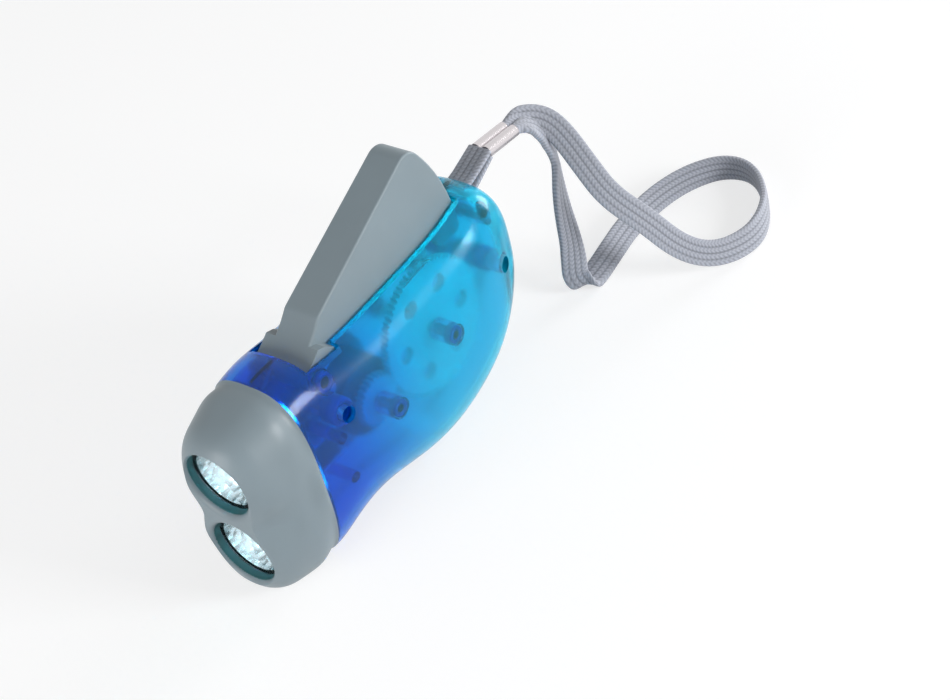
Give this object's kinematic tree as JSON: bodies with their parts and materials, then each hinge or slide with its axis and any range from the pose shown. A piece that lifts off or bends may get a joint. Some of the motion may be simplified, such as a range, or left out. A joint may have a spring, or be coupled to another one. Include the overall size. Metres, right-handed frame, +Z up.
{
  "type": "hand crank flashlight",
  "caption": "Squeeze-lever dynamo flashlight with a hinged grip lever, clear two-part case, twin-lamp head, gear train and a wrist strap.",
  "frame": {"origin": "middle of the torch's footprint, on the surface it stands on", "axes": "+Z up through the lever, -Y the way the beam points, +Y towards the strap, +X the side whose half shell the screws enter"},
  "size_m": [0.0645, 0.1835, 0.0762],
  "materials": {
    "clear_blue_case": "moulded clear blue polycarbonate, glossy",
    "grey_abs": "moulded ABS, fine satin",
    "clear_lens": "clear moulded acrylic",
    "silvered_plastic": "vacuum metallised plastic",
    "led_epoxy": "clear cast epoxy",
    "tinned_wire": "tinned wire",
    "board_laminate": "glass-fibre laminate",
    "chip_resin": "moulded resin",
    "white_acetal": "moulded white acetal",
    "spring_steel": "drawn spring wire",
    "axle_steel": "ground steel",
    "ferrite": "sintered ferrite",
    "flywheel_zinc": "die-cast zinc, turned",
    "core_steel": "stamped steel laminations",
    "copper_winding": "enamelled copper wire",
    "screw_steel": "zinc-plated steel",
    "ferrule_nickel": "bright nickel-plated brass",
    "grey_braid": "flat braided polyester"
  },
  "bodies": {
    "torch": {"shell_near": "clear_blue_case", "shell_far": "clear_blue_case", "head": "grey_abs", "lens": "clear_lens", "reflector_upper": "silvered_plastic", "reflector_lower": "silvered_plastic", "led_upper": "led_epoxy", "led_lower": "led_epoxy", "led_leads": "tinned_wire", "circuit_board": "board_laminate", "board_parts": "chip_resin", "lever_pin": "axle_steel", "main_axle": "axle_steel", "rotor_axle": "axle_steel", "stator_core": "core_steel", "coil_bobbin": "white_acetal", "coil": "copper_winding", "case_screws": "screw_steel", "strap_pin": "axle_steel", "strap_loop": "grey_braid", "ferrule": "ferrule_nickel", "strap": "grey_braid"},
    "lever": {"lever": "grey_abs", "sector_rack": "white_acetal", "lever_spring": "spring_steel"},
    "drive_pinion": {"drive_pinion": "white_acetal"},
    "main_gear": {"main_gear": "white_acetal", "clutch_pawls": "white_acetal"},
    "rotor": {"rotor_gear": "white_acetal", "rotor_magnet": "ferrite", "flywheel": "flywheel_zinc"}
  },
  "joints": [
    {"name": "lever_squeeze", "type": "hinge", "parent": "torch", "child": "lever", "pos_m": [0, -0.02075, 0.0479], "axis": [-1, 0, 0], "range_deg": [0, 22], "stiffness_Nm_per_rad": 0.6, "springref_deg": -20.05},
    {"name": "drive_pinion_spin", "type": "hinge", "parent": "torch", "child": "drive_pinion", "pos_m": [0, 0.01957, 0.03079], "axis": [-1, 0, 0], "range_deg": [0, 290]},
    {"name": "main_gear_spin", "type": "hinge", "parent": "torch", "child": "main_gear", "pos_m": [0, 0.01957, 0.03079], "axis": [-1, 0, 0], "range_deg": [0, 290]},
    {"name": "rotor_spin", "type": "hinge", "parent": "torch", "child": "rotor", "pos_m": [0, -0.00466, 0.02712], "axis": [-1, 0, 0], "range_deg": [-810, 0]}
  ],
  "couplings": [
    {"joint": "drive_pinion_spin", "follows": "lever_squeeze", "ratio": 13.167},
    {"joint": "main_gear_spin", "follows": "lever_squeeze", "ratio": 13.167},
    {"joint": "rotor_spin", "follows": "lever_squeeze", "ratio": -36.462}
  ]
}
